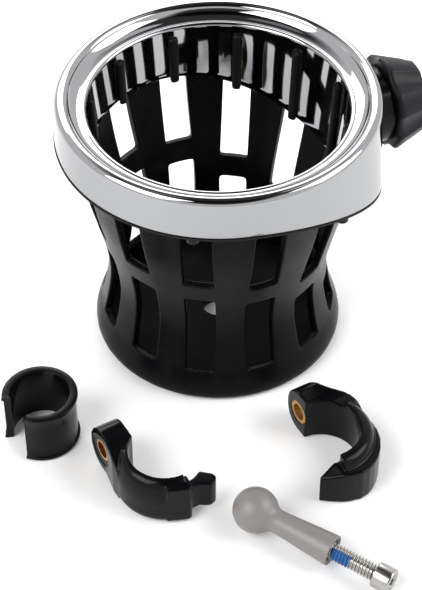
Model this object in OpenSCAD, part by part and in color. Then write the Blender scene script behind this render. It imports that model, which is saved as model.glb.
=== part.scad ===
// Cup holder kit with a two-piece tube clamp, laid out as separate pieces on a floor.
// Millimetres. Origin: centre of the basket's foot on the floor. +Z up, +X through the collar nut.

/* [Ring] */
// Height of the ring's inner lip above the floor
lip_h = 106.6; // [90:0.1:130]
// Inner radius of the ring at the lip
lip_r = 48.3; // [40:0.1:60]
// Inner radius of the ring's inner wall 40 mm below the lip
wall_low_r = 46.3; // [38:0.1:60]
// Outer radius of the skirt just under the rounded crest
skirt_top_r = 60.0; // [52:0.1:75]
// Outer radius of the skirt 40 mm below the lip
skirt_low_r = 62.3; // [52:0.1:78]
// Wall thickness of the skirt
skirt_t = 2.2; // [1.5:0.1:4]
// Wall thickness of the ring's inner wall
wall_t = 1.2; // [0.8:0.1:2.5]
// Depth of the skirt under the lip on its shallow side
skirt_depth = 10.9; // [6:0.1:20]
// Depth of the inner wall under the lip on its shallow side
wall_depth = 20.6; // [12:0.1:30]
// Radius of the horizontal sweep that deepens the ring towards the collar nut
sweep_r = 115; // [80:1:200]
// Distance behind the centre where the deepening starts
sweep_start = 13; // [0:0.5:40]

/* [Basket] */
// Radius of the basket's foot
foot_r = 49.0; // [40:0.1:60]
// Radius of the narrowest part of the basket
waist_r = 42.5; // [34:0.1:50]
// Height of the narrowest part
waist_h = 33; // [20:0.5:50]
// Wall thickness of the basket's lower half
basket_t = 3.0; // [2:0.1:5]
// Thickness of the basket's floor
floor_t = 3.0; // [2:0.1:6]
// Radius of the drain hole in the floor
drain_r = 5.5; // [3:0.1:12]
// Width of each basket window
window_w = 11.8; // [8:0.1:14]
// Corner radius of each basket window
window_corner_r = 2.5; // [1:0.1:4]
// Height where the lower windows start
window_low_z = 12.5; // [8:0.1:20]
// Middle height of the band between the two rows on the shallow side
band_z = 54.5; // [45:0.1:62]
// Height of the band between the two rows
band_h = 8.8; // [5:0.1:14]

/* [Ball joint] */
// Diameter of the mounting ball
ball_d = 17.0; // [12:0.1:26]
// Height of the collar nut's axis above the floor
nut_z = 89; // [75:0.1:100]
// Distance from the ring's centre to the back of the collar nut
nut_x = 66.2; // [64:0.1:75]
// Largest radius over the lobes of the collar nut
nut_back_r = 18.6; // [14:0.1:25]
// Radius over the lobes at the outer end
nut_front_r = 14.2; // [12:0.1:20]
// Length of the collar nut
nut_len = 14.6; // [10:0.1:22]

/* [Split sleeve] */
// Position of the sleeve's axis
sleeve_at = [-85.5, -37.1]; // [-200:0.1:200]
// Direction the sleeve's gap faces, degrees from +X
sleeve_turn = 198; // [0:1:360]
// Outer diameter of the sleeve's barrel
sleeve_od = 26.8; // [20:0.1:40]
// Bore of the sleeve
sleeve_bore = 22.4; // [16:0.1:36]
// Diameter over the sleeve's end flanges
sleeve_flange_d = 28.4; // [22:0.1:42]
// Height of the sleeve
sleeve_h = 22; // [12:0.1:30]
// Angle of the sleeve's gap
sleeve_gap = 58; // [10:1:120]

/* [Tube clamp] */
// Position of the tongue half's bore axis
half_a_at = [-50.6, -77.2]; // [-200:0.1:200]
// Position of the slotted half's bore axis
half_b_at = [7.7, -88.6]; // [-200:0.1:200]
// Direction of the clamp screw's axis, degrees from +X
clamp_turn = 9; // [0:1:360]
// Bore diameter of the closed clamp
clamp_bore = 27.0; // [20:0.1:40]
// Width of the clamp along the tube
clamp_w = 19.5; // [14:0.1:26]
// Radial thickness of the clamp's arms
arm_t = 5.2; // [3:0.1:9]
// Distance from the tube's axis to the clamp screw's axis
lug_v = 18.5; // [17:0.1:26]
// Height of the tongue
tongue_h = 12; // [8:0.1:14]
// Height of the slotted half's hooked end
hook_h = 15.2; // [14:0.1:19]

/* [Stud and screw] */
// Position of the ball's centre over the floor
ball_at = [-26.8, -107.4]; // [-200:0.1:200]
// Direction of the stud, degrees from +X
stud_turn = -53.2; // [-180:0.1:180]
// Slope of the stud down towards the screw head, degrees
stud_slope = 3.2; // [0:0.05:10]
// Distance from the ball's centre to the end of the stud
stud_len = 32.2; // [20:0.1:60]
// Diameter of the stud's shank at its end
stud_end_d = 11.6; // [9.6:0.1:14]
// Diameter of the stud's shank next to the ball
stud_neck_d = 8.8; // [6:0.1:12]
// Thread diameter of the clamp screw
screw_d = 6.35; // [5:0.05:8]
// Pitch of the clamp screw's thread
screw_pitch = 1.27; // [0.7:0.01:1.5]
// Length of the screw that shows outside the stud
screw_out = 17.3; // [5:0.1:30]
// Length of the screw inside the stud
screw_in = 9.0; // [4:0.1:20]
// Head diameter of the clamp screw
head_d = 9.6; // [8:0.1:13]
// Head height of the clamp screw
head_h = 6.6; // [4:0.1:8]

/* [Hidden] */
$fn = 96;
eps = 0.01;
crest_r = 2.6;
crest_x = skirt_top_r - crest_r;
crest_z = lip_h + 2.6;
wall_end_z = lip_h - 40;
skirt_z0 = lip_h - skirt_depth;
wall_z0 = lip_h - wall_depth;
flange_gap = 0.15;
trim_t = 0.8;
flange_t = 1.2;
boss_r = 57.4;
boss_angles = [60, 120, 240, 300];
bore_r = clamp_bore / 2;
stud_end_r = stud_end_d / 2;
screw_bore_r = screw_d / 2 + 0.06;
insert_r = 4.1;
thread_depth = 0.7;
patch_r = screw_d / 2 - 1.0;
patch_z = stud_len + 0.4;
patch_len = 5.5 * screw_pitch;
bush_a_r = 4.5;
bush_b_r = 4.75;
bush_bore_r = screw_d / 2 + 0.15;
lug_mid = clamp_w / 2;
socket_tail_r = 4.95;
spigot_r = 12.4;
spigot_end = nut_x + 2.6;
seat_x = nut_x - 2.2;
nut_clear = 0.08;
ball_x = nut_x + 7.0;

// Space below the ring's lower line, which starts at height z0 and sweeps down towards +X.
module below_line(z0, start = sweep_start) {
    translate([-start, 0, z0 - sweep_r])
        rotate([90, 0, 0])
            cylinder(h = 200, r = sweep_r, center = true, $fn = 180);
    translate([-start - 100, -100, z0 - 140])
        cube([100, 200, 140]);
}

// Section of the skirt from the crest downwards, in radius and height.
module skirt_section() {
    polygon([
        [skirt_top_r - skirt_t, crest_z - 1],
        [skirt_top_r - 1, crest_z + 0.6],
        [skirt_top_r - 0.05, crest_z + 0.35],
        [skirt_low_r, wall_end_z],
        [skirt_low_r - skirt_t, wall_end_z]
    ]);
}

// Section of the rounded crest, the hollow top face and the small inner lip.
module crown_section() {
    translate([crest_x, crest_z])
        circle(r = crest_r);
    translate([lip_r + 1.25, lip_h - 0.1])
        circle(r = 1.25);
    difference() {
        polygon([
            [lip_r + 1.2, lip_h - 1.0],
            [lip_r + 1.5, lip_h + 0.6],
            [lip_r + 2.1, lip_h + 1.3],
            [crest_x - 2.6, crest_z + 1.1],
            [crest_x - 1.7, crest_z + 1.7],
            [crest_x, crest_z + 1.5],
            [skirt_top_r - 1.2, crest_z + 0.8],
            [skirt_top_r - 1, crest_z - 2],
            [skirt_top_r - skirt_t + 0.8, crest_z - 2.9],
            [crest_x - 3, lip_h - 0.6],
            [lip_r + 2.6, lip_h - 1.35]
        ]);
        translate([lip_r + 1.5, lip_h + 7.4])
            circle(r = 6.5);
    }
}

module inner_wall_section() {
    polygon([
        [lip_r + 0.06, lip_h + 0.2],
        [lip_r + wall_t + 0.4, lip_h - 0.2],
        [wall_low_r + wall_t, wall_end_z],
        [wall_low_r, wall_end_z]
    ]);
}

module ring_casting() {
    color([0.8, 0.81, 0.83])
    difference() {
        union() {
            difference() {
                rotate_extrude($fn = 180) {
                    crown_section();
                    skirt_section();
                    inner_wall_section();
                }
                // the skirt's swept lower edge
                difference() {
                    below_line(skirt_z0);
                    cylinder(h = 200, r = 53);
                }
                // the inner wall's swept lower edge
                intersection() {
                    below_line(wall_z0);
                    cylinder(h = 200, r = 53);
                }
            }
            difference() {
                for (a = boss_angles)
                    rotate([0, 0, a])
                        translate([boss_r, 0, skirt_z0 - 16])
                            cylinder(h = 16 + skirt_depth, r = 2.5, $fn = 40);
                below_line(skirt_z0);
            }
        }
        // pilot holes for the basket screws
        for (a = boss_angles)
            rotate([0, 0, a])
                translate([boss_r, 0, skirt_z0 - 20])
                    cylinder(h = 20 + skirt_depth - 3, r = 1.3, $fn = 32);
        // hole for the tail of the ball socket
        along_x(56, 12, socket_tail_r + 0.1, 64);
    }
}

// Rubber trim between the skirt's lower edge and the basket's flange.
module rim_trim() {
    color([0.05, 0.05, 0.05])
    difference() {
        rotate_extrude($fn = 180)
            polygon([
                [59.0, 60],
                [skirt_low_r + 0.1, 60],
                [skirt_top_r + 0.8, lip_h - 8],
                [59.0, lip_h - 8]
            ]);
        below_line(skirt_z0 - flange_gap - trim_t);
        above_line(skirt_z0 - flange_gap);
    }
}

// Space above the same swept line.
module above_line(z0) {
    difference() {
        translate([-100, -100, z0 - 80])
            cube([200, 200, 160]);
        below_line(z0);
    }
}

// Outline of the basket's outer face, foot to flange, in radius and height.
module basket_outer() {
    polygon([
        [0, 0],
        [foot_r - 2.2, 0],
        [foot_r - 0.7, 0.6],
        [foot_r, 2.2],
        [foot_r - 0.4, 5.2],
        [foot_r - 1.6, 9],
        [foot_r - 3.0, 13],
        [foot_r - 4.4, 18.5],
        [waist_r + 0.9, 25],
        [waist_r + 0.1, 30],
        [waist_r, waist_h],
        [waist_r + 0.2, 37],
        [waist_r + 0.9, 42],
        [waist_r + 2.1, 48],
        [waist_r + 4.5, 58],
        [waist_r + 7.0, 68],
        [waist_r + 9.3, 80],
        [waist_r + 11.3, 92],
        [waist_r + 12.2, 98],
        [0, 98]
    ]);
}

module basket_inner() {
    polygon([
        [0, floor_t],
        [foot_r - basket_t - 3, floor_t],
        [foot_r - basket_t - 1.2, floor_t + 1.4],
        [foot_r - basket_t - 1.4, 7],
        [foot_r - basket_t - 3.0, 13],
        [foot_r - basket_t - 4.4, 18.5],
        [waist_r - basket_t + 0.9, 25],
        [waist_r - basket_t, waist_h],
        [waist_r - basket_t + 0.9, 42],
        [waist_r - basket_t + 2.3, 48],
        [waist_r - basket_t + 5.1, 58],
        [wall_low_r + wall_t + 0.35, wall_end_z + 2],
        [lip_r + wall_t + 0.65, lip_h],
        [0, lip_h]
    ]);
}

// Cutter of one window between two heights, with faceted round corners.
module window_cutter(z_low, z_high) {
    r = window_corner_r;
    xc = window_w / 2 - r;
    zc = [z_high - r, z_low + r];
    rotate([90, 0, 90])
        translate([0, 0, 36])
            linear_extrude(height = 30)
                polygon([
                    for (k = [0:4]) [xc + r * cos(22.5 * k), zc[0] + r * sin(22.5 * k)],
                    for (k = [4:8]) [-xc + r * cos(22.5 * k), zc[0] + r * sin(22.5 * k)],
                    for (k = [8:12]) [-xc + r * cos(22.5 * k), zc[1] + r * sin(22.5 * k)],
                    for (k = [12:16]) [xc + r * cos(22.5 * k), zc[1] + r * sin(22.5 * k)]
                ]);
}

// Fall of a swept line at distance x towards the collar nut.
function fall(x, start) = x + start < 0 ? 0 : sweep_r - sqrt(sweep_r * sweep_r - (x + start) * (x + start));

module basket() {
    color([0.09, 0.09, 0.09])
    difference() {
        union() {
            difference() {
                rotate_extrude($fn = 180)
                    basket_outer();
                for (a = [0:30:330]) {
                    mid = band_z - 0.95 * fall(45 * cos(a), 30);
                    top = skirt_z0 - fall(54 * cos(a) + 2.5 * abs(sin(a)), sweep_start) - 4.7;
                    rotate([0, 0, a]) {
                        window_cutter(window_low_z, mid - band_h / 2);
                        window_cutter(mid + band_h / 2, top);
                    }
                }
            }
            // flange under the trim
            difference() {
                rotate_extrude($fn = 180)
                    polygon([
                        [48.6, 55],
                        [skirt_low_r - 0.6, 60],
                        [skirt_top_r - 0.2, lip_h - 5],
                        [48.6, lip_h - 5]
                    ]);
                below_line(skirt_z0 - 2 * flange_gap - trim_t - flange_t);
            }
        }
        above_line(skirt_z0 - 2 * flange_gap - trim_t);
        rotate_extrude($fn = 180)
            basket_inner();
        // drain hole
        translate([0, 0, -1])
            cylinder(h = floor_t + 3, r = drain_r);
        // screw holes in the flange
        for (a = boss_angles)
            rotate([0, 0, a])
                translate([boss_r, 0, 60])
                    cylinder(h = 45, r = 1.75, $fn = 32);
    }
}

// Self-tapping screws that hold the basket's flange to the ring.
module basket_screws() {
    color([0.55, 0.55, 0.57])
    for (a = boss_angles) {
        z = skirt_z0 - fall(boss_r * cos(a) + 2.3, sweep_start) - 2 * flange_gap - trim_t - flange_t - 0.05;
        rotate([0, 0, a])
            translate([boss_r, 0, z]) {
                translate([0, 0, -1.8])
                    difference() {
                        cylinder(h = 1.8, r = 2.3, $fn = 40);
                        translate([0, 0, -eps])
                            cylinder(h = 1.0, r = 1.2, $fn = 6);
                    }
                translate([0, 0, -eps])
                    cylinder(h = 9.9, r = 1.28, $fn = 32);
            }
    }
}

// Twelve soft strips on the ring's inner wall.
module grip_strips() {
    color([0.04, 0.04, 0.04])
    difference() {
        for (i = [0:11]) {
            z_low = wall_z0 - fall(47 * cos(30 * i), sweep_start) - 2.4;
            rotate([0, 0, 30 * i])
                intersection() {
                    rotate_extrude($fn = 180)
                        polygon([
                            [lip_r - 1.7, lip_h - 2.2],
                            [lip_r - 0.12, lip_h - 2.2],
                            [wall_low_r - 0.32, wall_end_z - 6],
                            [wall_low_r - 1.9, wall_end_z - 6]
                        ]);
                    rotate([90, 0, 90])
                        translate([0, 0, 40])
                            linear_extrude(height = 12)
                                union() {
                                    translate([-1.8, z_low + 1.8])
                                        square([3.6, lip_h - 4.4 - z_low]);
                                    translate([0, z_low + 1.8])
                                        circle(r = 1.8, $fn = 32);
                                    translate([0, lip_h - 2.6 - 1.8])
                                        circle(r = 1.8, $fn = 32);
                                }
                }
        }
        translate([0, 0, lip_h - 2.6])
            cylinder(h = 5, r = 60);
    }
}

// Cylinder along +X at the collar nut's height.
module along_x(x, h, r, f = 96) {
    translate([x, 0, nut_z])
        rotate([0, 90, 0])
            cylinder(h = h, r = r, $fn = f);
}

// Black base of the ball socket, saddled on the skirt.
module socket_base() {
    color([0.08, 0.08, 0.08])
    difference() {
        union() {
            along_x(58.4, spigot_end - 58.4, spigot_r);
            along_x(58.4, nut_x - 0.6 - 58.4, 14.6);
        }
        // saddle that follows the skirt, around the tail
        difference() {
            rotate_extrude($fn = 180)
                polygon([
                    [40, wall_end_z - 10],
                    [skirt_low_r + 0.6, wall_end_z - 8],
                    [skirt_top_r + 0.06, crest_z],
                    [40, crest_z]
                ]);
            along_x(50, 16, socket_tail_r, 64);
        }
        along_x(50, 30, 2.6, 48);
        along_x(seat_x - 2.6, 10, 4.4, 48);
        // seat for the collet's foot
        along_x(seat_x, 12, 9.05);
    }
}

module socket_back_nut() {
    color([0.7, 0.7, 0.72])
    difference() {
        union() {
            along_x(53.8, 3.2, 5.6, 6);
            along_x(56.9, 1.4, 7.0, 64);
        }
        along_x(50, 12, 2.62, 48);
    }
}

module socket_screw() {
    color([0.72, 0.72, 0.74])
    difference() {
        union() {
            along_x(53.8, 9.2, 2.5, 48);
            along_x(seat_x - 2.6, 2.5, 4.3, 48);
        }
        along_x(seat_x - 1.8, 4, 1.75, 6);
    }
}

// Slotted socket with a spherical seat for the ball.
module socket_collet() {
    color([0.16, 0.16, 0.17])
    difference() {
        union() {
            along_x(seat_x + 0.05, 6, 9.0);
            translate([0, 0, nut_z])
                rotate([0, 90, 0])
                    rotate_extrude()
                        polygon([
                            [0, spigot_end + 0.3],
                            [9.4, spigot_end + 0.3],
                            [11.4, spigot_end + 1.2],
                            [11.4, nut_x + 7.2],
                            [9.6, nut_x + 11.6],
                            [0, nut_x + 11.6]
                        ]);
        }
        translate([ball_x, 0, nut_z])
            rotate([0, 90, 0])
                sphere(d = ball_d + 0.1);
        along_x(ball_x, 10, ball_d / 2 - 0.55);
        for (i = [0:5])
            translate([ball_x - 3.0, 0, nut_z])
                rotate([60 * i + 30, 0, 0])
                    translate([0, -0.5, 0])
                        cube([12, 1.0, 14]);
    }
}

// Lobed collar nut that squeezes the collet on the ball.
module collar_nut() {
    slope = atan((nut_back_r - nut_front_r) / (nut_len - 3.4));
    flute_r = 7;
    color([0.1, 0.1, 0.1])
    difference() {
        translate([0, 0, nut_z])
            rotate([0, 90, 0])
                rotate_extrude()
                    polygon([
                        [9.9, nut_x],
                        [nut_back_r - 1.6, nut_x],
                        [nut_back_r - 0.5, nut_x + 0.5],
                        [nut_back_r, nut_x + 1.6],
                        [nut_front_r, nut_x + nut_len - 1.8],
                        [nut_front_r - 0.8, nut_x + nut_len - 0.6],
                        [nut_front_r - 2.0, nut_x + nut_len],
                        [9.9, nut_x + nut_len]
                    ]);
        // six hollow flutes
        for (i = [0:5])
            translate([nut_x, 0, nut_z])
                rotate([60 * i + 30, 0, 0])
                    translate([0, 0, nut_back_r - 0.5 + flute_r])
                        rotate([0, 90 + slope, 0])
                            translate([0, 0, -16])
                                cylinder(h = 48, r = flute_r);
        // threaded rear bore and the cone in front of it
        along_x(nut_x - 1, 4.2, spigot_r + nut_clear);
        translate([0, 0, nut_z])
            rotate([0, 90, 0])
                rotate_extrude()
                    polygon([
                        [0, nut_x + 2],
                        [12.0, nut_x + 2],
                        [12.0, nut_x + 7.6],
                        [10.0, nut_x + 12.6],
                        [9.9, nut_x + 20],
                        [0, nut_x + 20]
                    ]);
    }
}

// Grip ring pressed into the outer mouth of the collar nut.
module collar_lip() {
    color([0.3, 0.3, 0.31])
    difference() {
        along_x(nut_x + nut_len - 1.6, 1.4, 9.88);
        along_x(nut_x + nut_len - 3, 5, 9.0);
    }
}

module floor_mat() {
    color([0.06, 0.06, 0.06])
    difference() {
        translate([0, 0, floor_t + 0.02])
            cylinder(h = 1.2, r = 42.5);
        cylinder(h = 10, r = drain_r + 0.6);
    }
}

// Section of the sleeve's wall with both flanges.
module sleeve_section() {
    ri = sleeve_bore / 2;
    ro = sleeve_od / 2;
    rf = sleeve_flange_d / 2;
    translate([ri, 0.4])
        square([ro - ri, sleeve_h - 0.8]);
    translate([ri + 0.4, 0])
        square([rf - ri - 1.1, 1.5]);
    translate([ri + 0.4, sleeve_h - 1.5])
        square([rf - ri - 1.1, 1.5]);
    for (z = [0.75, sleeve_h - 0.75])
        translate([rf - 0.75, z])
            circle(r = 0.75, $fn = 32);
}

module split_sleeve() {
    color([0.08, 0.08, 0.08])
    translate([sleeve_at[0], sleeve_at[1], 0])
        rotate([0, 0, sleeve_turn + sleeve_gap / 2])
            rotate_extrude(angle = 360 - sleeve_gap)
                sleeve_section();
}

// Section of a clamp arm before the bore is cut. Its outer face leans in towards its upper edge.
module arm_section(t) {
    translate([bore_r, 0])
        polygon([
            [-1, 0],
            [t - 2.1, 0],
            [t - 1.2, 0.3],
            [t - 0.4, 1.1],
            [t, 2.6],
            [t, clamp_w - 9.5],
            [t - 0.2, clamp_w - 7.0],
            [t - 0.7, clamp_w - 4.6],
            [t - 1.5, clamp_w - 2.6],
            [t - 2.5, clamp_w - 1.2],
            [t - 3.6, clamp_w - 0.4],
            [-1, clamp_w]
        ]);
}

// Ear with a round back that carries the screw's bush, over the outline given by its children.
module lug() {
    intersection() {
        linear_extrude(height = clamp_w)
            children();
        translate([-40, 0, 0])
            rotate([90, 0, 90])
                linear_extrude(height = 80)
                    polygon(concat(
                        [[-2, 0]],
                        [for (a = [-90:10:90]) [lug_v + 0.3 + 7.6 * cos(a), lug_mid * (1 + sin(a))]],
                        [
                            [14, clamp_w],
                            [10, clamp_w - 0.4],
                            [6.5, clamp_w - 1.5],
                            [3.5, clamp_w - 3.2],
                            [-2, clamp_w - 6.5]
                        ]
                    ));
    }
}

// Puts a clamp half's own frame in place: u along the screw, v towards the lug.
module place_half(at) {
    translate([at[0], at[1], 0])
        rotate([0, 0, clamp_turn])
            children();
}

// Hole along the screw's axis in a clamp half's own frame.
module screw_line(u0, u1, r, f = 48) {
    translate([u0, lug_v, lug_mid])
        rotate([0, 90, 0])
            cylinder(h = u1 - u0, r = r, $fn = f);
}

module clamp_tongue_half() {
    color([0.09, 0.09, 0.09])
    place_half(half_a_at)
        difference() {
            union() {
                rotate([0, 0, 150])
                    rotate_extrude(angle = 120)
                        arm_section(arm_t);
                lug()
                    polygon([
                        [-17.0, 30],
                        [-17.0, 15.0],
                        [-17.7, 10.8],
                        [-18.6, 6.0],
                        [-18.6, 2.0],
                        [-12.6, 2.0],
                        [-7.2, 10.9],
                        [-7.2, 30]
                    ]);
                // thickened end
                translate([0, 0, 0.8])
                    linear_extrude(height = clamp_w - 2.4)
                        polygon([
                            [-7, -12.0],
                            [1.4, -13.2],
                            [1.2, -17.0],
                            [0.4, -19.6],
                            [-1.0, -20.0],
                            [-8.6, -17.0]
                        ]);
                // hooked tongue
                translate([0, 0, lug_mid - tongue_h / 2])
                    linear_extrude(height = tongue_h)
                        polygon([
                            [-1, -14.4],
                            [3.2, -14.6],
                            [5.4, -13.6],
                            [7.2, -12.6],
                            [11.0, -16.0],
                            [11.4, -17.8],
                            [10.2, -19.6],
                            [7.8, -20.4],
                            [6.0, -19.6],
                            [4.2, -18.3],
                            [-1, -18.4]
                        ]);
            }
            translate([0, 0, -1])
                cylinder(h = clamp_w + 2, r = bore_r);
            // hole and shallow seat around the bush
            screw_line(-20, -5, bush_a_r);
            screw_line(-20, -16.4, 6.6);
        }
}

module bush_a() {
    color([0.78, 0.6, 0.3])
    place_half(half_a_at)
        difference() {
            screw_line(-16.3, -7.3, bush_a_r);
            screw_line(-20, -5, bush_bore_r);
        }
}

module clamp_slot_half() {
    color([0.09, 0.09, 0.09])
    place_half(half_b_at)
        difference() {
            union() {
                rotate([0, 0, -98])
                    rotate_extrude(angle = 122)
                        arm_section(arm_t + 1.2);
                lug()
                    polygon([
                        [0.6, 30],
                        [0.6, 12.0],
                        [8.0, 9.0],
                        [12.2, 3.0],
                        [19.2, 3.0],
                        [19.0, 6.4],
                        [17.9, 9.4],
                        [15.9, 12.4],
                        [13.4, 15.2],
                        [11.4, 18.0],
                        [10.0, 21.0],
                        [8.8, 24.4],
                        [8.0, 30]
                    ]);
                // thick hooked end, whose upper face slopes down to its tip
                intersection() {
                    linear_extrude(height = hook_h)
                        polygon([
                            [1.4, -12.5],
                            [-4.4, -13.0],
                            [-10.7, -14.5],
                            [-10.9, -15.3],
                            [-7.6, -17.9],
                            [-4.2, -20.1],
                            [-1.0, -21.5],
                            [3.0, -22.3],
                            [6.4, -21.8],
                            [9.4, -20.4],
                            [12.4, -18.2],
                            [15.2, -15.2],
                            [17.6, -11.4],
                            [19.0, -7.4],
                            [19.6, -3.0],
                            [13.6, -3.0],
                            [9.6, -10]
                        ]);
                    translate([0, 30, 0])
                        rotate([90, 0, 0])
                            linear_extrude(height = 60)
                                polygon([
                                    [-12, 0],
                                    [30, 0],
                                    [30, hook_h - 1.8],
                                    [17, hook_h],
                                    [-3.5, hook_h],
                                    [-12, hook_h - 3.2]
                                ]);
                }
            }
            translate([0, 0, -1])
                cylinder(h = clamp_w + 2, r = bore_r);
            screw_line(-2, 14, bush_b_r);
            // pocket for the tongue in the bore's side
            translate([1.0, -18.8, 2.2])
                cube([10.6, 8, tongue_h]);
        }
}

module bush_b() {
    color([0.78, 0.6, 0.3])
    place_half(half_b_at)
        difference() {
            screw_line(0.8, 9.2, bush_b_r);
            screw_line(-2, 14, bush_bore_r);
        }
}

// Puts the stud's own frame in place: its axis along local +Z, the ball's centre at the origin.
module place_stud() {
    translate([ball_at[0], ball_at[1], ball_d / 2])
        rotate([0, 90 + stud_slope, stud_turn])
            children();
}

module ball_stud() {
    color([0.55, 0.53, 0.51])
    place_stud()
        difference() {
            union() {
                sphere(d = ball_d);
                rotate_extrude()
                    polygon([
                        [0, 0],
                        [5.45, 6.4],
                        [5.0, 7.15],
                        [4.66, 7.9],
                        [4.46, 8.8],
                        [stud_neck_d / 2, 10.0],
                        [stud_end_r, stud_len - 0.5],
                        [stud_end_r - 0.5, stud_len],
                        [0, stud_len]
                    ]);
            }
            // seat of the thread insert, and the screw's run-out behind it
            translate([0, 0, stud_len - 12.5])
                cylinder(h = 14, r = insert_r, $fn = 48);
            translate([0, 0, stud_len - 20])
                cylinder(h = 14, r = screw_bore_r, $fn = 48);
            translate([0, 0, stud_len - 0.8])
                cylinder(h = 2, r1 = insert_r, r2 = insert_r + 2, $fn = 48);
        }
}

// Steel thread insert in the stud's end.
module stud_insert() {
    color([0.5, 0.5, 0.5])
    place_stud()
        difference() {
            translate([0, 0, stud_len - 12.45])
                cylinder(h = 11.0, r = insert_r, $fn = 48);
            translate([0, 0, stud_len - 14])
                cylinder(h = 16, r = screw_bore_r, $fn = 48);
        }
}

// Ridged thread section between two heights, in radius and height.
module thread_section(z0, z1, crest) {
    n = floor((z1 - z0) / screw_pitch);
    polygon(concat(
        [[0, z0]],
        [for (i = [0:n - 1]) each [
            [crest - thread_depth, z0 + i * screw_pitch],
            [crest, z0 + (i + 0.38) * screw_pitch],
            [crest, z0 + (i + 0.62) * screw_pitch]
        ]],
        [[crest - thread_depth, z0 + n * screw_pitch], [crest - thread_depth, z1], [0, z1]]
    ));
}

module clamp_screw() {
    color([0.75, 0.75, 0.76])
    place_stud()
        difference() {
            union() {
                rotate_extrude($fn = 64)
                    thread_section(stud_len - screw_in, stud_len + screw_out, screw_d / 2);
                translate([0, 0, stud_len + screw_out - eps])
                    rotate_extrude($fn = 64)
                        polygon([
                            [0, 0],
                            [head_d / 2, 0],
                            [head_d / 2, head_h - 0.5],
                            [head_d / 2 - 0.5, head_h],
                            [0, head_h]
                        ]);
            }
            // hexagon socket
            translate([0, 0, stud_len + screw_out + head_h - 3.4])
                cylinder(h = 4, r = 2.75, $fn = 6);
            // groove filled by the locking patch
            translate([0, 0, patch_z])
                rotate_extrude($fn = 64)
                    translate([patch_r, 0])
                        square([2, patch_len]);
        }
}

// Thread-locking patch around the first turns outside the stud.
module lock_patch() {
    color([0.12, 0.4, 0.75])
    place_stud()
        rotate_extrude($fn = 64)
            intersection() {
                thread_section(patch_z + 0.02, patch_z + patch_len - 0.02, screw_d / 2 - 0.01);
                translate([patch_r + 0.02, patch_z - 1])
                    square([3, patch_len + 2]);
            }
}

ring_casting();
rim_trim();
basket();
basket_screws();
grip_strips();
floor_mat();
socket_base();
socket_back_nut();
socket_screw();
socket_collet();
collar_nut();
collar_lip();
split_sleeve();
clamp_tongue_half();
bush_a();
clamp_slot_half();
bush_b();
ball_stud();
stud_insert();
clamp_screw();
lock_patch();
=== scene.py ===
import bmesh
import bpy
import math
from mathutils import Matrix, Vector


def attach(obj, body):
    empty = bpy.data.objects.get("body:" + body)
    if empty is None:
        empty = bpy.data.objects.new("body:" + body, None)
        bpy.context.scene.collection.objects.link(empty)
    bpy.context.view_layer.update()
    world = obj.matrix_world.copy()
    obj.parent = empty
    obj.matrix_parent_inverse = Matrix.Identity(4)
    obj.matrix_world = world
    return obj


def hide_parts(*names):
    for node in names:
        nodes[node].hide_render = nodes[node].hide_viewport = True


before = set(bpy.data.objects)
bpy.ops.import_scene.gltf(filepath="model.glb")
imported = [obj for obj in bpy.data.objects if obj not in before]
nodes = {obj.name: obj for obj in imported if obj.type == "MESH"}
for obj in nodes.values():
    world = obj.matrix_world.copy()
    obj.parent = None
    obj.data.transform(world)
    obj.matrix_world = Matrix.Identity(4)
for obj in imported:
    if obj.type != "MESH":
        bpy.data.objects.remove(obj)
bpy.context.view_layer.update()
scene = bpy.context.scene
MM = 0.001

# Sizes in millimetres, the same as the CAD's.
LIP_H, LIP_R, WALL_LOW_R = 106.6, 48.3, 46.3
SKIRT_TOP_R, SKIRT_LOW_R, SKIRT_T, WALL_T = 60.0, 62.3, 2.2, 1.2
CREST_R, CREST_X, CREST_Z = 2.6, 57.4, 109.2
SKIRT_Z0, WALL_Z0, WALL_END_Z = 95.7, 86.0, 66.6
SWEEP_R, SWEEP_START = 115.0, 13.0
NUT_X, NUT_Z = 66.2, 89.0


def fall(x, start=SWEEP_START):
    """How far a swept line has dropped at distance x towards the collar nut."""
    t = x + start
    return 0.0 if t < 0 else SWEEP_R - math.sqrt(SWEEP_R ** 2 - t * t)


def cosd(a):
    return math.cos(math.radians(a))


def sind(a):
    return math.sin(math.radians(a))


def lerp_table(table, x):
    """Smooth cubic through the (x, y) pairs of a rising table."""
    n = len(table)
    if x <= table[0][0]:
        return table[0][1]
    if x >= table[-1][0]:
        return table[-1][1]
    i = next(k for k in range(n - 1) if x <= table[k + 1][0])

    def slope(k):
        lo, hi = max(k - 1, 0), min(k + 1, n - 1)
        return (table[hi][1] - table[lo][1]) / (table[hi][0] - table[lo][0])

    (x0, y0), (x1, y1) = table[i], table[i + 1]
    h = x1 - x0
    t = (x - x0) / h
    return ((2 * t ** 3 - 3 * t * t + 1) * y0 + (t ** 3 - 2 * t * t + t) * h * slope(i)
            + (3 * t * t - 2 * t ** 3) * y1 + (t ** 3 - t * t) * h * slope(i + 1))


# ---------------------------------------------------------------- meshes

def make(name, verts, faces):
    """A mesh object from points in millimetres."""
    me = bpy.data.meshes.new(name)
    me.from_pydata([(x * MM, y * MM, z * MM) for x, y, z in verts], [], faces)
    bm = bmesh.new()
    bm.from_mesh(me)
    bmesh.ops.remove_doubles(bm, verts=bm.verts, dist=2e-7)
    bm.to_mesh(me)
    bm.free()
    me.validate()
    me.update()
    me.polygons.foreach_set("use_smooth", [True] * len(me.polygons))
    ob = bpy.data.objects.new(name, me)
    scene.collection.objects.link(ob)
    return ob


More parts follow.
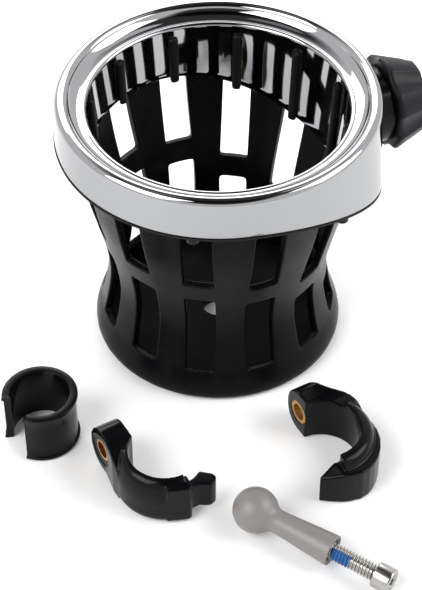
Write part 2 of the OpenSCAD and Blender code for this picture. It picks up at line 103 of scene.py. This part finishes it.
def revolve(name, section, count, place=None, closed=True, turn=360.0, start=0.0):
    """Sweeps section(angle), a list of (radius, height) points, about an axis.

    place maps a point to the model frame."""
    full = turn >= 359.999
    steps = count if full else count + 1
    verts, faces = [], []
    for k in range(steps):
        a = start + turn * k / count
        pts = section(a)
        m = len(pts)
        for r, h in pts:
            p = (r * cosd(a), r * sind(a), h)
            verts.append(place(*p) if place else p)
    rows = steps if full else steps - 1
    for k in range(rows):
        k2 = (k + 1) % steps
        for i in range(m if closed else m - 1):
            i2 = (i + 1) % m
            faces.append((k * m + i, k2 * m + i, k2 * m + i2, k * m + i2))
    if not full and closed:
        faces.append(tuple(range(m - 1, -1, -1)))
        faces.append(tuple((steps - 1) * m + i for i in range(m)))
    return make(name, verts, faces)


def along_x(x, y, z):
    """From a frame whose axis is local Z to the collar nut's axis."""
    return (z, -y, NUT_Z + x)


def arc(cx, cz, r, a0, a1, n):
    """Points on a circle arc, from angle a0 to a1 in n steps."""
    angles = [a0 + (a1 - a0) * k / n for k in range(n + 1)]
    return [(cx + r * cosd(a), cz + r * sind(a)) for a in angles]


def modify(ob, kind, **values):
    m = ob.modifiers.new(kind.title(), kind)
    for k, v in values.items():
        setattr(m, k, v)
    return m


def settle(ob):
    """Writes an object's modifiers into its own mesh."""
    deps = bpy.context.evaluated_depsgraph_get()
    me = bpy.data.meshes.new_from_object(ob.evaluated_get(deps))
    old = ob.data
    ob.modifiers.clear()
    ob.data = me
    bpy.data.meshes.remove(old)
    return ob


# ---------------------------------------------------------------- materials

def material(name, color, rough, metallic=0.0, **extra):
    m = bpy.data.materials.new(name)
    m.use_nodes = True
    b = m.node_tree.nodes["Principled BSDF"]
    b.inputs["Base Color"].default_value = (*color, 1)
    b.inputs["Roughness"].default_value = rough
    b.inputs["Metallic"].default_value = metallic
    for k, v in extra.items():
        b.inputs[k.replace("_", " ")].default_value = v
    return m


def surface(m, scale, color_var, rough_var, bump, depth=0.00005):
    """Gives a material fine colour and roughness variation and a shallow bump, in object space."""
    t = m.node_tree
    b = t.nodes["Principled BSDF"]
    co = t.nodes.new("ShaderNodeTexCoord")
    mp = t.nodes.new("ShaderNodeMapping")
    t.links.new(co.outputs["Object"], mp.inputs["Vector"])

    def noise(s, d):
        n = t.nodes.new("ShaderNodeTexNoise")
        n.inputs["Scale"].default_value = s
        n.inputs["Detail"].default_value = d
        t.links.new(mp.outputs["Vector"], n.inputs["Vector"])
        return n

    def spread(src, lo, hi):
        r = t.nodes.new("ShaderNodeMapRange")
        r.inputs["From Min"].default_value = 0.3
        r.inputs["From Max"].default_value = 0.7
        r.inputs["To Min"].default_value = lo
        r.inputs["To Max"].default_value = hi
        t.links.new(src, r.inputs["Value"])
        return r

    broad = noise(scale * 0.06, 3.0)
    fine = noise(scale, 4.0)
    base = tuple(b.inputs["Base Color"].default_value)
    mix = t.nodes.new("ShaderNodeMix")
    mix.data_type = "RGBA"
    mix.inputs["A"].default_value = tuple(c * (1 - color_var) for c in base[:3]) + (1,)
    mix.inputs["B"].default_value = tuple(min(1, c * (1 + color_var)) for c in base[:3]) + (1,)
    t.links.new(broad.outputs["Fac"], mix.inputs["Factor"])
    t.links.new(mix.outputs["Result"], b.inputs["Base Color"])
    ro = b.inputs["Roughness"].default_value
    r = spread(broad.outputs["Fac"], max(0.01, ro * (1 - rough_var)), min(1, ro * (1 + rough_var)))
    t.links.new(r.outputs["Result"], b.inputs["Roughness"])
    if bump > 0:
        bu = t.nodes.new("ShaderNodeBump")
        bu.inputs["Strength"].default_value = bump
        bu.inputs["Distance"].default_value = depth
        t.links.new(fine.outputs["Fac"], bu.inputs["Height"])
        t.links.new(bu.outputs["Normal"], b.inputs["Normal"])
    return m


CHROME = surface(material("chrome_plate", (0.36, 0.363, 0.372), 0.045, 1.0), 260, 0.02, 0.35, 0.0)
BASKET = surface(material("basket_black", (0.0022, 0.0022, 0.0026), 0.27, Specular_IOR_Level=0.08),
                 1400, 0.25, 0.18, 0.12)
GLOSS = surface(material("clamp_black", (0.0022, 0.0022, 0.0027), 0.17, Specular_IOR_Level=0.14),
                1100, 0.25, 0.25, 0.06)
GRIP = surface(material("grip_black", (0.003, 0.003, 0.003), 0.33, Specular_IOR_Level=0.18),
               1500, 0.2, 0.15, 0.15)
MAT = surface(material("mat_black", (0.003, 0.003, 0.003), 0.75, Specular_IOR_Level=0.1),
              1200, 0.25, 0.1, 0.5)
RUBBER = surface(material("trim_black", (0.005, 0.005, 0.005), 0.6, Specular_IOR_Level=0.2),
                 1200, 0.25, 0.1, 0.3)
NUT = surface(material("collar_black", (0.005, 0.005, 0.0065), 0.38, Specular_IOR_Level=0.18),
              1700, 0.3, 0.15, 0.35)
COLLET = surface(material("collet_black", (0.03, 0.03, 0.032), 0.5), 1500, 0.2, 0.15, 0.3)
STUD = surface(material("stud_taupe", (0.178, 0.166, 0.16), 0.4), 2200, 0.05, 0.15, 0.3, 0.00004)
STEEL = surface(material("cap_screw_steel", (0.41, 0.395, 0.375), 0.22, 1.0), 700, 0.06, 0.3, 0.05)
ZINC = surface(material("zinc_steel", (0.5, 0.51, 0.53), 0.34, 1.0), 900, 0.08, 0.3, 0.1)
BRASS = surface(material("bush_brass", (0.6, 0.33, 0.1), 0.3, 1.0), 900, 0.12, 0.3, 0.1)
BRASS_DARK = surface(material("bush_brass_dark", (0.5, 0.28, 0.09), 0.36, 1.0), 900, 0.15, 0.3, 0.1)
PATCH = surface(material("patch_blue", (0.005, 0.088, 0.27), 0.42), 1500, 0.15, 0.15, 0.4)


def paint(ob, mat):
    ob.data.materials.clear()
    ob.data.materials.append(mat)
    return ob


def piece(ob, body, mat, slot, *replaced):
    """Finishes a visual piece: material, the CAD nodes it stands for, and its body; the slot argument is not
    used.
    """
    paint(ob, mat)
    if replaced:
        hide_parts(*replaced)
    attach(ob, body)
    return ob


# ---------------------------------------------------------------- ring

def skirt_r(z):
    return SKIRT_TOP_R + (SKIRT_LOW_R - SKIRT_TOP_R) * (CREST_Z - z) / (CREST_Z - WALL_END_Z)


def wall_r(z):
    return LIP_R + (WALL_LOW_R - LIP_R) * (LIP_H - 0.1 - z) / (LIP_H - 0.1 - WALL_END_Z)


def ring_section(a):
    c = cosd(a)
    z_skirt = SKIRT_Z0 - fall(61.0 * c)
    z_wall = WALL_Z0 - fall(47.0 * c)
    pts = []
    e = 0.45
    ro = skirt_r(z_skirt)
    ri = ro - SKIRT_T + 0.1
    # rounded lower edge of the skirt, then its outer face
    pts += arc(ri + e, z_skirt + e, e, 180, 270, 4)
    pts += arc(ro - e, z_skirt + e, e, 270, 360, 4)
    top = CREST_Z
    for k in range(1, 10):
        z = z_skirt + e + (top - z_skirt - e) * k / 10
        pts.append((skirt_r(z), z))
    pts += arc(CREST_X, CREST_Z, CREST_R, 3, 145, 28)
    pts += arc(LIP_R + 1.5, LIP_H + 7.4, 6.5, -34, -84, 22)
    pts += arc(LIP_R + 1.25, LIP_H - 0.1, 1.25, 56, 180, 20)
    for k in range(1, 9):
        z = LIP_H - 0.1 + (z_wall + 0.3 - LIP_H + 0.1) * k / 9
        pts.append((wall_r(z), z))
    w = wall_r(z_wall)
    pts += arc(w + 0.3, z_wall + 0.3, 0.3, 180, 270, 3)
    pts += arc(w + WALL_T - 0.3, z_wall + 0.3, 0.3, 270, 360, 3)
    pts.append((wall_r(LIP_H - 4) + WALL_T + 0.3, LIP_H - 4))
    pts.append((LIP_R + 2.6, LIP_H - 1.35))
    pts.append((CREST_X - 3, LIP_H - 0.6))
    pts.append((SKIRT_TOP_R - SKIRT_T - 0.3, CREST_Z - 3.2))
    return pts


ring = revolve("ring_chrome", ring_section, 288)
piece(ring, "holder", CHROME, "chrome_ring", "ring_casting")

# ---------------------------------------------------------------- basket

OUTER = [(2.2, 49.0), (5.2, 48.6), (9, 47.4), (13, 46.0), (18.5, 44.6), (25, 43.4), (30, 42.65), (33, 42.5),
         (37, 42.7), (42, 43.4), (48, 44.6), (58, 47.0), (68, 49.5), (80, 51.8), (92, 53.8), (96.6, 54.5)]
HALF_W, CORNER, WIN_LOW, BAND_Z, BAND_H = 5.9, 2.6, 12.5, 54.5, 8.8
COLUMNS, SECTOR, BASKET_T = 12, 30.0, 2.9


def outer_r(z):
    return lerp_table(OUTER, z)


def basket_mesh():
    """One wall surface with its twelve columns of windows, the foot and the floor; thickness comes after."""
    cols = []   # (angle of the window's middle, place across the window)
    for s in range(COLUMNS):
        for u in ("rib", "l2", "l1", "lc", "mid", "rc", "r1", "r2"):
            cols.append((SECTOR * s, u))

    def col_angle(a0, u, r):
        w = math.degrees(math.asin(HALF_W / r))
        wc = math.degrees(math.asin((HALF_W - CORNER) / r))
        w2 = min(w + math.degrees(1.3 / r), 14.2)
        offset = {"rib": -SECTOR / 2, "l2": -w2, "l1": -w, "lc": -wc,
                  "mid": 0.0, "rc": wc, "r1": w, "r2": w2}
        return a0 + offset[u]

    def heights(a0):
        mid = BAND_Z - 0.95 * fall(45 * cosd(a0), 30)
        top = SKIRT_Z0 - fall(54 * cosd(a0) + 2.5 * abs(sind(a0))) - 4.6
        return mid, top

    def z_rows(a0, u):
        mid, top = heights(a0)
        if u == "rib":
            m2, t2 = heights(a0 - SECTOR)
            mid, top = (mid + m2) / 2, (top + t2) / 2
        lo, hi = WIN_LOW, mid - BAND_H / 2
        lo2, hi2 = mid + BAND_H / 2, top
        r1 = [lo - 1.2, lo, lo + CORNER]
        r1 += [lo + CORNER + (hi - lo - 2 * CORNER) * f for f in (0.25, 0.5, 0.75)]
        r1 += [hi - CORNER, hi, hi + 1.2]
        r2 = [lo2 - 1.2, lo2, lo2 + CORNER]
        r2 += [lo2 + CORNER + (hi2 - lo2 - 2 * CORNER) * f for f in (0.2, 0.4, 0.6, 0.8)]
        r2 += [hi2 - CORNER, hi2]
        return r1 + r2

    # floor from the drain hole outwards, then the foot's rounded edge
    base = [(5.6, 0), (7.2, 0), (18, 0), (32, 0), (43, 0), (46.2, 0), (47.4, 0.12),
            (48.3, 0.7), (48.85, 1.9), (48.9, 4.2), (48.0, 7.6)]
    verts = []
    for a0, u in cols:
        zs = z_rows(a0, u)
        a_mid = a0 if u != "rib" else a0 - SECTOR / 2
        flange = SKIRT_Z0 - 2.3 - fall(53.0 * cosd(a_mid)) + 0.4
        zs = zs + [zs[-1] + 0.5 * (flange - zs[-1]), flange]
        rows = len(base) + len(zs)
        for r, z in base:
            a = col_angle(a0, u, 45.0)
            verts.append((r * cosd(a), r * sind(a), z))
        for z in zs:
            r = outer_r(z)
            a = col_angle(a0, u, r)
            verts.append((r * cosd(a), r * sind(a), z))
    n = len(cols)
    b = len(base)
    holes = set(range(b + 1, b + 7)) | set(range(b + 10, b + 17))
    faces = []
    for k in range(n):
        k2 = (k + 1) % n
        for i in range(rows - 1):
            if cols[k][1] in ("l1", "lc", "mid", "rc") and i in holes:
                continue
            faces.append((k * rows + i, k2 * rows + i, k2 * rows + i + 1, k * rows + i + 1))
    return verts, faces


verts, faces = basket_mesh()
basket = make("basket_body", verts, faces)
modify(basket, "SOLIDIFY", thickness=BASKET_T * MM, offset=-1.0, use_even_offset=True,
       edge_crease_inner=0.55, edge_crease_outer=0.55, edge_crease_rim=0.1)
modify(basket, "SUBSURF", levels=2, render_levels=2)
settle(basket)
piece(basket, "holder", BASKET, "basket_plastic", "basket")


FLANGE_GAP, FLANGE_T = 1.1, 1.2
FLANGE = [(48.6, 0.0), (54, 0.0), (59.3, 0.0), (59.9, 0.35),
          (59.9, 0.85), (59.3, FLANGE_T), (54, FLANGE_T), (48.6, FLANGE_T)]


def flange_section(a):
    c = cosd(a)
    return [(r, SKIRT_Z0 - FLANGE_GAP - FLANGE_T - fall(r * c) + d) for r, d in FLANGE]


flange = revolve("basket_flange", flange_section, 240)
piece(flange, "holder", BASKET, "basket_plastic")

# ---------------------------------------------------------------- grip strips

GRIP_W, GRIP_DEEP, GRIP_TIP = 1.8, 1.6, 1.2   # half width, depth, length of the rounded top


def grip_mesh():
    verts, faces = [], []
    for s in range(COLUMNS):
        a0 = SECTOR * s
        z_low = WALL_Z0 - fall(47 * cosd(a0)) - 2.4
        z_top = LIP_H - 2.6
        n, m = 26, 12
        start = len(verts)
        for k in range(n + 1):
            t = k / n
            z = z_low + (z_top - z_low) * t
            d_low, d_top = z - z_low, z_top - z
            w = GRIP_W
            if d_low < GRIP_W:
                w = math.sqrt(max(0.0, GRIP_W ** 2 - (GRIP_W - d_low) ** 2))
            if d_top < GRIP_TIP:
                w = min(w, GRIP_W * math.sqrt(max(0.0, 1 - (1 - d_top / GRIP_TIP) ** 2)))
            w = max(w, 0.02)
            deep = GRIP_DEEP * min(1.0, w / GRIP_W)
            rw = wall_r(z) - 0.03
            for q in range(m + 1):
                th = 180.0 * q / m
                y = w * cosd(th)
                x = rw - deep * abs(sind(th)) ** 0.6
                verts.append((x * cosd(a0) - y * sind(a0), x * sind(a0) + y * cosd(a0), z))
        for k in range(n):
            for q in range(m):
                i = start + k * (m + 1) + q
                faces.append((i, i + m + 1, i + m + 2, i + 1))
            i = start + k * (m + 1)
            faces.append((i, i + m, i + 2 * m + 1, i + m + 1))
        faces.append(tuple(start + q for q in range(m, -1, -1)))
        faces.append(tuple(start + n * (m + 1) + q for q in range(m + 1)))
    return verts, faces


grips = make("grip_fingers", *grip_mesh())
piece(grips, "holder", GRIP, "grip_rubber", "grip_strips")

# ---------------------------------------------------------------- collar nut

NUT_R, NUT_TAPER, FLUTE_DEEP, FLUTE_HALF = 18.55, 4.15, 1.75, 15.5


def nut_section(a):
    p = (a + 30.0) % 60.0 - 30.0
    # a hollow flute half way between two broad lobes
    d = FLUTE_DEEP * max(0.0, 1 - ((abs(p) - 30.0) / FLUTE_HALF) ** 2) ** 0.9
    pts = [(12.6, NUT_X + 0.3), (13.4, NUT_X), (15.2, NUT_X)]
    pts += [(17.0 - 0.7 * d, NUT_X + 0.02), (17.8 - 0.85 * d, NUT_X + 0.25)]
    pts += [(18.35 - d, NUT_X + 0.8), (NUT_R - d, NUT_X + 1.7)]
    for k in range(1, 8):
        t = k / 8
        pts.append((NUT_R - NUT_TAPER * t - d, NUT_X + 1.7 + 11.0 * t))
    pts += [(14.25 - d, NUT_X + 13.2), (13.9 - 0.85 * d, NUT_X + 13.9)]
    pts += [(13.2 - 0.6 * d, NUT_X + 14.35), (12.2 - 0.2 * d, NUT_X + 14.55)]
    # the mouth, then the bore back to the start
    pts += [(11.2, NUT_X + 14.6), (10.4, NUT_X + 14.6), (10.05, NUT_X + 14.45), (9.95, NUT_X + 14.1)]
    pts += [(9.95, NUT_X + 12.7), (12.0, NUT_X + 7.6), (12.0, NUT_X + 3.3)]
    pts += [(12.48, NUT_X + 3.2), (12.48, NUT_X + 0.5)]
    return pts


nut = revolve("collar_lobed", nut_section, 360, along_x)
piece(nut, "collar", NUT, "collar_plastic", "collar_nut")

# ---------------------------------------------------------------- stud, screw, patch

BALL, BALL_R = (-26.8, -107.4, 8.5), 8.5
STUD_HEADING, STUD_TILT = -53.2, 93.2
STUD_M = (Matrix.Translation(Vector(BALL)) @ Matrix.Rotation(math.radians(STUD_HEADING), 4, "Z")
          @ Matrix.Rotation(math.radians(STUD_TILT), 4, "Y"))
STUD_LEN, SCREW_OUT, SCREW_IN, SCREW_R, PITCH = 32.2, 17.3, 9.0, 3.175, 1.27


def on_stud(x, y, z):
    return tuple(STUD_M @ Vector((x, y, z)))


NECK = [(5.9, 6.12), (6.4, 5.62), (7.0, 5.12), (7.8, 4.68), (8.8, 4.44),
        (10.2, 4.4), (16, 4.75), (24, 5.3), (30, 5.68), (31.5, 5.77)]


def stud_section(a):
    pts = [(0.0, -BALL_R)] + arc(0, 0, BALL_R, -86, 42, 30)
    for k in range(1, 22):
        z = 5.9 + (31.4 - 5.9) * (k / 21) ** 1.5
        pts.append((lerp_table(NECK, z), z))
    # the rounded end, then the hole for the insert and the screw
    pts += [(5.79, 31.8), (5.72, 32.05), (5.55, 32.18), (5.35, 32.2), (5.15, 32.15), (4.9, 31.9)]
    pts += [(4.12, 31.4), (4.1, 31.2), (4.1, 19.8), (3.24, 19.7), (3.24, 12.2), (0.0, 12.2)]
    return pts


stud = revolve("ball_and_stud", stud_section, 128, on_stud, closed=False)
piece(stud, "stud", STUD, "stud_grey", "ball_stud")


def thread_tube(z0, z1, crest, depth, a0=0.0, turn=360.0, taper=True):
    """The open surface of a single-start thread between two heights on the stud's axis."""
    around = 48
    full = turn >= 359.9
    steps = around if full else max(8, int(around * turn / 360))
    rows = int((z1 - z0) / (PITCH / 12))
    cols = steps if full else steps + 1
    verts, faces = [], []
    for i in range(rows + 1):
        z = z0 + (z1 - z0) * i / rows
        for k in range(cols):
            a = a0 + turn * k / steps
            ph = (z / PITCH - a / 360.0) % 1.0
            w = min(1.0, max(0.0, (abs(ph - 0.5) - 0.08) / 0.32))
            r = crest - depth * (w * w * (3 - 2 * w))
            if taper:
                r -= max(0.0, 0.5 - (z - z0)) * 0.7
            verts.append(on_stud(r * cosd(a), r * sind(a), z))
    for i in range(rows):
        for k in range(cols if full else cols - 1):
            k2 = (k + 1) % cols
            faces.append((i * cols + k, i * cols + k2, (i + 1) * cols + k2, (i + 1) * cols + k))
    return verts, faces, cols


def hex_r(a, r):
    """Distance to the side of a hexagon whose corners are at r."""
    return r * cosd(30) / cosd((a % 60.0) - 30.0)


HEX_CORNER = 2.75


def head_section(a):
    z = STUD_LEN + SCREW_OUT
    h = hex_r(a, HEX_CORNER)
    pts = [(0.0, z - 0.35), (2.7, z - 0.35), (3.2, z - 0.1), (3.6, z)]
    pts += [(4.3, z), (4.6, z + 0.08), (4.76, z + 0.3)]
    pts += [(4.8, z + 0.6), (4.8, z + 3.2), (4.8, z + 5.9), (4.75, z + 6.3), (4.57, z + 6.53)]
    # the top face, then the hexagon socket
    pts += [(4.3, z + 6.6), (3.8, z + 6.6), (3.25, z + 6.58), (0.5 * (3.1 + h), z + 6.4)]
    pts += [(h, z + 6.1), (h, z + 3.35), (h * 0.97, z + 3.22), (0.0, z + 2.9)]
    return pts


v1, f1, c1 = thread_tube(STUD_LEN - SCREW_IN, STUD_LEN + SCREW_OUT, SCREW_R, 0.78)
f1 += [tuple(range(c1 - 1, -1, -1)), tuple(range(len(v1) - c1, len(v1)))]
screw_thread = make("cap_screw_thread", v1, f1)
head = revolve("cap_screw_head", head_section, 96, on_stud, closed=False)
piece(screw_thread, "screw", STEEL, "cap_screw_steel", "clamp_screw")
piece(head, "screw", STEEL, "cap_screw_steel")

v2, f2, _ = thread_tube(STUD_LEN + 0.2, STUD_LEN + 7.5, SCREW_R + 0.05, 0.66, -166, 215, taper=False)
patch = make("blue_patch", v2, f2)
modify(patch, "SOLIDIFY", thickness=0.16 * MM, offset=-1.0)
settle(patch)
piece(patch, "screw", PATCH, "patch_blue", "lock_patch")

# ---------------------------------------------------------------- sleeve

SLEEVE_AT = (-85.5, -37.1)
SLIT_DIR, SLIT_HALF = 198, 29   # degrees


def sleeve_section(_):
    # radius of the bore, barrel and flanges, the height, and the rounding of the flanges' edges
    ri, ro, rf, h = 11.2, 13.4, 14.2, 22.0
    e = 0.4
    pts = [(ri + 0.12, 0.04), (ri + 0.5, 0.0), (ri + 1.5, 0.0)]
    pts += arc(rf - e, e, e, -90, 0, 5) + arc(rf - e, 1.5 - e, e, 0, 60, 3)
    pts += [(ro + 0.12, 1.55), (ro, 1.95), (ro, 6), (ro, 11), (ro, 16), (ro, h - 1.95), (ro + 0.12, h - 1.55)]
    pts += arc(rf - e, h - 1.5 + e, e, -60, 0, 3) + arc(rf - e, h - e, e, 0, 90, 5)
    pts += [(ri + 1.5, h), (ri + 0.5, h), (ri + 0.12, h - 0.04), (ri + 0.02, h - 0.16), (ri, h - 0.5)]
    pts += [(ri, 16), (ri, 11), (ri, 6), (ri, 0.5), (ri + 0.02, 0.16)]
    return pts


def at_sleeve(x, y, z):
    return (x + SLEEVE_AT[0], y + SLEEVE_AT[1], z)


sleeve = revolve("split_bush", sleeve_section, 120, at_sleeve, turn=360.0 - 2 * SLIT_HALF,
                 start=SLIT_DIR + SLIT_HALF)
modify(sleeve, "BEVEL", width=0.45 * MM, segments=3, limit_method="ANGLE",
       angle_limit=math.radians(50))
settle(sleeve)
piece(sleeve, "sleeve", GLOSS, "sleeve_plastic", "split_sleeve")

# ---------------------------------------------------------------- carried-over CAD nodes

for name, mat in {
    "rim_trim": RUBBER, "basket_screws": NUT, "floor_mat": MAT, "socket_base": GLOSS, "socket_back_nut": ZINC,
    "socket_screw": ZINC, "socket_collet": COLLET, "collar_lip": COLLET, "clamp_tongue_half": GLOSS,
    "clamp_slot_half": GLOSS, "bush_a": BRASS, "bush_b": BRASS_DARK, "stud_insert": STEEL,
}.items():
    paint(nodes[name], mat)

for name in ("clamp_tongue_half", "clamp_slot_half"):
    ob = nodes[name]
    modify(ob, "REMESH", mode="VOXEL", voxel_size=0.3 * MM, use_smooth_shade=True)
    modify(ob, "SMOOTH", factor=0.5, iterations=16)

# ---------------------------------------------------------------- camera, light and floor

# Metres and degrees; the lens is in millimetres.
CAMERA_AT, CAMERA_TILT, CAMERA_HEADING, CAMERA_LENS = (-0.194145, -0.498294, 0.532971), 45.603, -21, 113.53
FLOOR_SIZE, FLOOR_Z = 6, -0.0003
AIM = (0, 0, 0.05)
WORLD_STRENGTH = 1.1

cam = bpy.data.cameras.new("camera")
cam.sensor_width = 36
cam.sensor_fit = "AUTO"
cam.lens = CAMERA_LENS
cam.clip_start = 0.01
camera = bpy.data.objects.new("camera", cam)
camera.location = CAMERA_AT
camera.rotation_euler = (math.radians(CAMERA_TILT), 0, math.radians(CAMERA_HEADING))
scene.collection.objects.link(camera)
scene.camera = camera

bpy.ops.mesh.primitive_plane_add(size=FLOOR_SIZE, location=(0, 0, FLOOR_Z))
floor = bpy.context.object
floor.name = "floor"
floor_mat = material("floor_pale", (0.86, 0.86, 0.86), 0.85)
floor_mat.node_tree.nodes["Principled BSDF"].inputs["Specular IOR Level"].default_value = 0.1
paint(floor, floor_mat)


def area(name, loc, size, power):
    """A rectangular light that faces the object."""
    li = bpy.data.lights.new(name, "AREA")
    li.shape = "RECTANGLE"
    li.size, li.size_y = size
    li.energy = power
    ob = bpy.data.objects.new(name, li)
    ob.location = loc
    ob.rotation_euler = (Vector(AIM) - Vector(loc)).to_track_quat("-Z", "Y").to_euler()
    scene.collection.objects.link(ob)


area("key", (-1.3, -0.3, 1.3), (1.3, 1.3), 30)
area("fill", (1.3, -0.6, 1.2), (1.2, 1.2), 22)
area("back", (0.3, 1.6, 1.1), (1.8, 0.8), 22)

world = bpy.data.worlds.new("studio")
scene.world = world
world.use_nodes = True
wt = world.node_tree
bg = wt.nodes["Background"]
bg.inputs["Strength"].default_value = WORLD_STRENGTH
wc = wt.nodes.new("ShaderNodeTexCoord")


def world_ramp(direction, lo, hi, c_lo, c_hi):
    """A colour that goes from c_lo to c_hi as a view direction turns towards the given one."""
    dot = wt.nodes.new("ShaderNodeVectorMath")
    dot.operation = "DOT_PRODUCT"
    dot.inputs[1].default_value = Vector(direction).normalized()
    ramp = wt.nodes.new("ShaderNodeValToRGB")
    ramp.color_ramp.elements[0].position = lo
    ramp.color_ramp.elements[0].color = (c_lo, c_lo, c_lo, 1)
    ramp.color_ramp.elements[1].position = hi
    ramp.color_ramp.elements[1].color = (c_hi, c_hi, c_hi, 1)
    wt.links.new(wc.outputs["Generated"], dot.inputs[0])
    wt.links.new(dot.outputs["Value"], ramp.inputs["Fac"])
    return ramp.outputs["Color"]


def world_mix(kind, a, b):
    mix = wt.nodes.new("ShaderNodeMix")
    mix.data_type = "RGBA"
    mix.blend_type = kind
    mix.inputs["Factor"].default_value = 1.0
    wt.links.new(a, mix.inputs["A"])
    wt.links.new(b, mix.inputs["B"])
    return mix.outputs["Result"]


ceiling = world_ramp((0, 0, 1), 0.7, 0.86, 1.0, 0.06)
camera_side = world_ramp((-0.2, -0.53, 0.82), 0.86, 0.93, 1.0, 0.08)
panel_left = world_ramp((-0.2, 0.25, 0.95), 0.985, 0.99, 0.0, 0.35)
panel_right = world_ramp((0.5, 0.1, 0.86), 0.975, 0.98, 0.0, 0.9)
sky = world_mix("MULTIPLY", ceiling, camera_side)
sky = world_mix("LIGHTEN", sky, panel_left)
sky = world_mix("LIGHTEN", sky, panel_right)
wt.links.new(sky, bg.inputs["Color"])

scene.view_settings.view_transform = "Standard"
scene.view_settings.look = "None"
